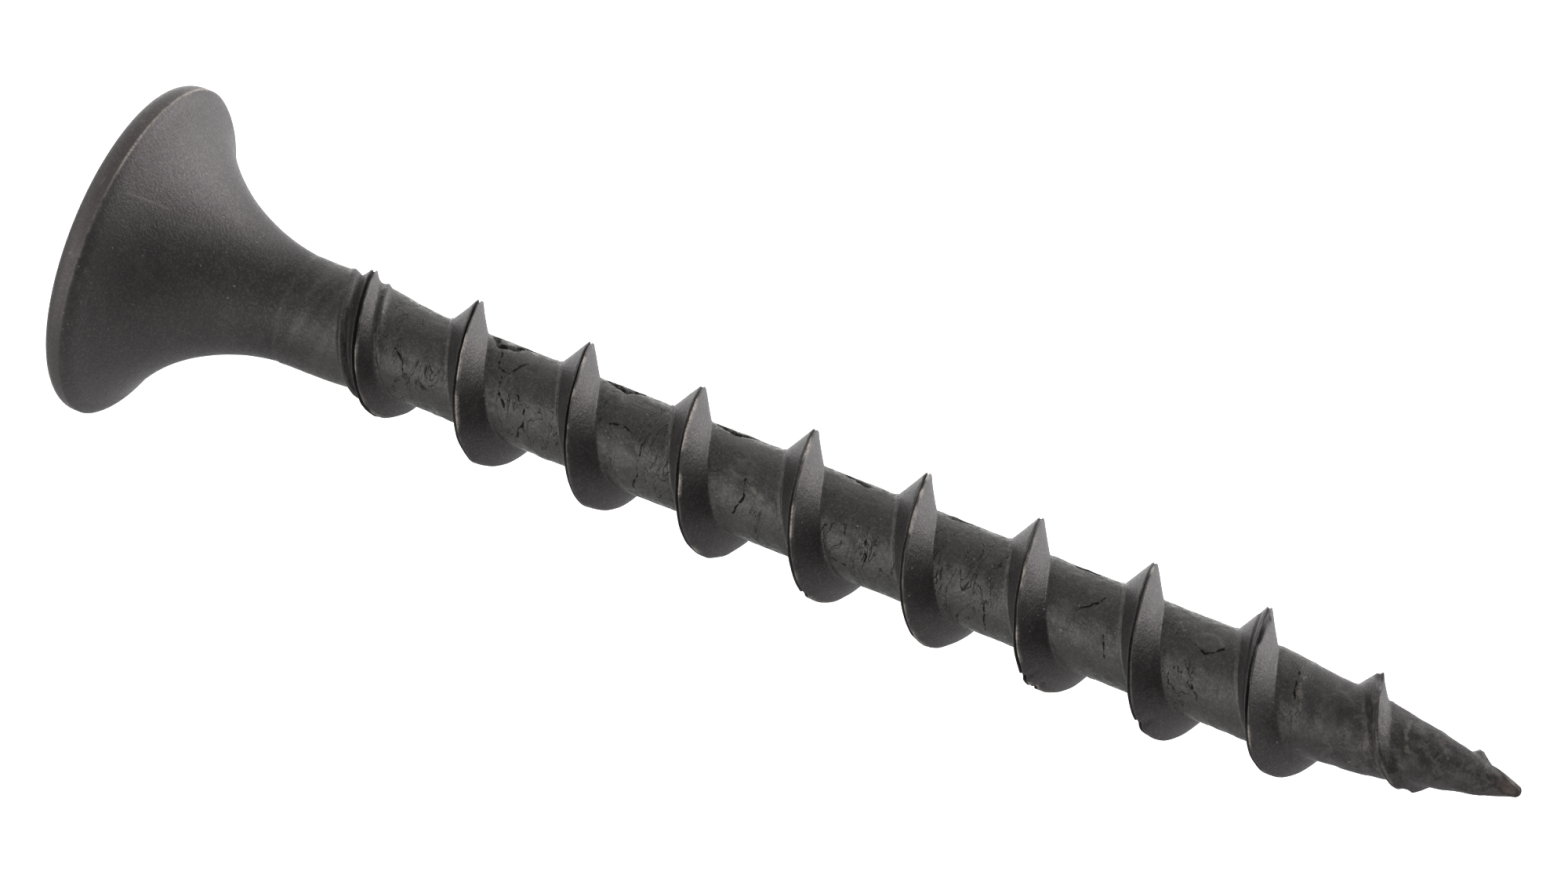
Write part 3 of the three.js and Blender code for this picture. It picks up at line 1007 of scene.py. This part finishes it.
def coat_colour(n, s):
    """The colour: the coating's tones, then wear, bare steel, the crease's painted highlight, and painted
    shade in the cracks and cuts over them.
    """
    colour = n.mix(n.remap(s.cloud, 0.3, 0.7), DARK_COAT, MIDDLE_COAT)
    colour = n.mix(n.times(s.on_core, n.remap(s.cloud, 0.25, 0.6, 0.4, 1.0)), colour, GREEN_COAT)
    colour = n.mix(n.remap(s.smear, 0.50, 0.75, 0.0, 0.30), colour, LIGHT_COAT)
    colour = n.mix(n.times(s.flake, n.remap(s.coarse, 0.35, 0.65, 0.0, 0.55)), colour, PALE_GREEN_COAT)
    colour = n.mix(n.times(s.striation, 0.22), colour, PALE_GREEN_COAT)
    colour = n.mix(n.remap(s.grain, 0.46, 0.68, 0.0, 0.65), colour, LIGHT_COAT)
    colour = n.mix(n.times(s.at_tip, n.remap(s.coarse, 0.35, 0.6, 0.2, 0.9)), colour, BROWN)
    colour = n.mix(n.times(s.on_point, n.remap(s.scaly, 0.50, 0.60, 0.0, 0.70)), colour, LIGHT_COAT)
    colour = n.mix(n.times(s.on_point, n.remap(s.blotch, 0.50, 0.60, 0.0, 0.8)), colour, DARK_COAT)
    colour = n.mix(n.times(s.rim, RIM_WEAR), colour, WORN_COAT)
    # The lip mask holds the crest's worn lip and steps, and on the head the crease's painted highlight with
    # the rim's specks.
    colour = n.mix(n.times(s.lip, n.remap(s.coarse, 0.38, 0.62, 0.1, 0.9)), colour, WORN_COAT)
    # The chip mask holds the crest's bare beads, and on the head the crease's painted highlight.
    colour = n.mix(n.times(s.chip, n.remap(s.grain, 0.35, 0.6, 0.35, 1.0)), colour, BARE_STEEL)
    colour = n.mix(n.times(s.scratch, PALE_LINE_STRENGTH), colour, BARE_STEEL)
    colour = n.mix(n.times(s.streak, PALE_LINE_STRENGTH), colour, BARE_STEEL)
    colour = n.mix(n.times(s.speck, 0.75), colour, SPECK)
    # The seam, pits, folds and cracks are painted near black here, as painted shade.
    return n.mix(s.shaded_cuts, colour, PAINTED_CUT_SHADE)


def coat_roughness(n, s):
    """How rough the surface is: rougher where it is cut, and patchy on the core."""
    rough = n.plus(n.remap(s.grain, 0.3, 0.7, 0.50, 0.38), n.times(s.shaded_cuts, 0.35))
    return n.plus(rough, n.times(s.on_core, n.remap(s.coarse, 0.36, 0.64, -0.17, 0.03)))


def coat_shine(n, s):
    """The tint of the shine, which fades on the shank, in patches on the point, and in the cuts, where
    taking it out is painted shade.
    """
    shine = n.mix(s.on_core, WARM_SHINE, GREEN_SHINE)
    dull = n.times(s.on_shank, n.remap(s.striation, 0.1, 0.9, 0.34, 0.0))
    dull = n.larger(dull, n.times(s.on_point, n.remap(s.coarse, 0.38, 0.62, 0.30, 0.05)))
    # Painted shade: the shine is taken out of the seam, pits and cracks.
    dull = n.larger(dull, n.times(s.shaded_cuts, 0.85))
    return n.mix(dull, shine, DULL_SHINE)


def coat_relief(n, s):
    """The surface's normal, bent by crystals, smears, the core's scales and fine cracks."""
    height = n.plus(n.times(s.grain, 1.5), n.times(s.coarse, 0.5))
    height = n.plus(height, n.times(s.smear, 0.9))
    height = n.plus(height, n.times(s.on_core, n.times(s.scaly, 2.2)))
    height = n.math("SUBTRACT", height, n.times(s.crack, 0.9))
    bump = n.add("ShaderNodeBump")
    bump.inputs["Strength"].default_value = BUMP_STRENGTH
    bump.inputs["Distance"].default_value = BUMP_HEIGHT * MM
    n.feed(bump.inputs["Height"], height)
    return bump.outputs["Normal"]


def new_material(name, shader_kind):
    """A new material that is one shader, with its node tree and that shader."""
    material = bpy.data.materials.new(name)
    material.use_nodes = True
    n = Nodes(material.node_tree)
    output = n.add("ShaderNodeOutputMaterial")
    shader = n.add(shader_kind)
    n.feed(output.inputs["Surface"], shader.outputs["BSDF"])
    return material, n, shader


def phosphate():
    """Matte dark phosphate over rolled steel."""
    material, n, shader = new_material("black_phosphate", "ShaderNodeBsdfPrincipled")
    surface = Surface(n)
    shader.inputs["Specular IOR Level"].default_value = SPECULAR_LEVEL
    n.feed(shader.inputs["Base Color"], coat_colour(n, surface))
    n.feed(shader.inputs["Roughness"], coat_roughness(n, surface))
    n.feed(shader.inputs["Specular Tint"], coat_shine(n, surface))
    n.feed(shader.inputs["Normal"], coat_relief(n, surface))
    return material


def floor_material():
    """Plain pale grey, which the floor's own light turns white."""
    material, _, shader = new_material("pale_floor", "ShaderNodeBsdfDiffuse")
    shader.inputs["Color"].default_value = (FLOOR_GREY, FLOOR_GREY, FLOOR_GREY, 1.0)
    return material


# ---- Floor, light and camera ----
def make_floor(screw):
    """A plain square floor that the screw's lowest point touches."""
    half = FLOOR_SIZE / 2
    z = min(vertex.co.z for vertex in screw.data.vertices)
    mesh = bpy.data.meshes.new("floor")
    corners = [(-half, -half, z), (half, -half, z), (half, half, z), (-half, half, z)]
    mesh.from_pydata(corners, [], [(0, 1, 2, 3)])
    mesh.materials.append(floor_material())
    floor = new_object("floor", mesh)
    # The world below the horizon stands for the floor in the screw's own reflections.
    floor.visible_glossy = False
    floor.visible_diffuse = False
    floor.visible_shadow = False
    return floor


def view_axes():
    """Directions towards the camera, and right and up in its picture."""
    level = math.cos(VIEW_ELEVATION)
    x = math.sin(VIEW_AZIMUTH) * level
    y = -math.cos(VIEW_AZIMUTH) * level
    out = Vector((x, y, math.sin(VIEW_ELEVATION)))
    right = Vector((math.cos(VIEW_AZIMUTH), math.sin(VIEW_AZIMUTH), 0.0))
    return out, right, out.cross(right)


def make_camera():
    """The camera, so far away that its picture is VIEW_WIDTH wide at the screw."""
    out, right, up = view_axes()
    aim = (right * AIM_RIGHT + up * AIM_UP) * MM
    data = bpy.data.cameras.new("camera")
    data.lens = LENS
    data.sensor_width = SENSOR
    data.clip_start = 0.01
    data.clip_end = 20.0
    camera = new_object("camera", data)
    distance = LENS * VIEW_WIDTH * MM / SENSOR
    axes = Matrix((right, up, out)).transposed()
    camera.matrix_world = Matrix.Translation(aim + out * distance) @ axes.to_4x4()
    bpy.context.scene.camera = camera


def overhead_panel(name, power):
    """A square light over the middle of the floor, facing straight down."""
    data = bpy.data.lights.new(name, "AREA")
    data.shape = "SQUARE"
    data.size = PANEL_SIZE
    data.energy = power
    light = new_object(name, data)
    light.location = (0.0, 0.0, PANEL_HEIGHT)
    light.visible_camera = False
    return light


def sky_patch(n, direction, towards, start, full, amount):
    """A soft patch of the sky round one direction."""
    facing = n.vector("DOT_PRODUCT", direction, Vector(towards).normalized())
    return n.remap(facing, start, full, 0.0, amount)


def make_world():
    """The room: bright at the horizon, dark overhead, with patches that the screw reflects."""
    world = bpy.data.worlds.new("studio")
    bpy.context.scene.world = world
    world.use_nodes = True
    n = Nodes(world.node_tree)
    output = n.add("ShaderNodeOutputWorld")
    background = n.add("ShaderNodeBackground")
    n.feed(output.inputs["Surface"], background.outputs["Background"])
    direction = n.add("ShaderNodeTexCoord").outputs["Generated"]
    ramp = n.add("ShaderNodeValToRGB")
    n.feed(ramp.inputs["Fac"], n.math("MULTIPLY_ADD", n.parts(direction)[2], 0.5, third=0.5))
    ramp.color_ramp.interpolation = "EASE"
    stops = ramp.color_ramp.elements
    while len(stops) < len(SKY_BY_HEIGHT):
        stops.new(0.5)
    for stop, (height, level) in zip(stops, SKY_BY_HEIGHT):
        stop.position = height * 0.5 + 0.5
        stop.color = (level, level, level, 1.0)
    strength = ramp.outputs["Color"]
    for towards, start, full, amount in SKY_LOBES:
        strength = n.plus(strength, sky_patch(n, direction, towards, start, full, amount))
    for towards, start, full, amount in SKY_SHADES:
        kept = n.math("SUBTRACT", 1.0, sky_patch(n, direction, towards, start, full, amount))
        strength = n.times(strength, kept)
    n.feed(background.inputs["Strength"], strength)
    background.inputs["Color"].default_value = (1.0, 1.0, 1.0, 1.0)


def make_lights(floor):
    """One panel that lights the screw, and one that lights only the floor."""
    overhead = overhead_panel("overhead_panel", OVERHEAD_POWER)
    overhead.visible_glossy = False
    # The white ground: nothing shades the second panel.
    floor_panel = overhead_panel("floor_panel", FLOOR_PANEL_POWER)
    only_floor = bpy.data.collections.new("only_floor")
    only_floor.objects.link(floor)
    floor_panel.light_linking.receiver_collection = only_floor
    floor_panel.light_linking.blocker_collection = only_floor


# ---- The scene ----
screw = build_screw()
screw.data.materials.append(phosphate())
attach(screw, "root")
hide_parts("screw")

make_camera()
floor = make_floor(screw)
make_world()
make_lights(floor)
bpy.context.scene.view_settings.view_transform = "Standard"
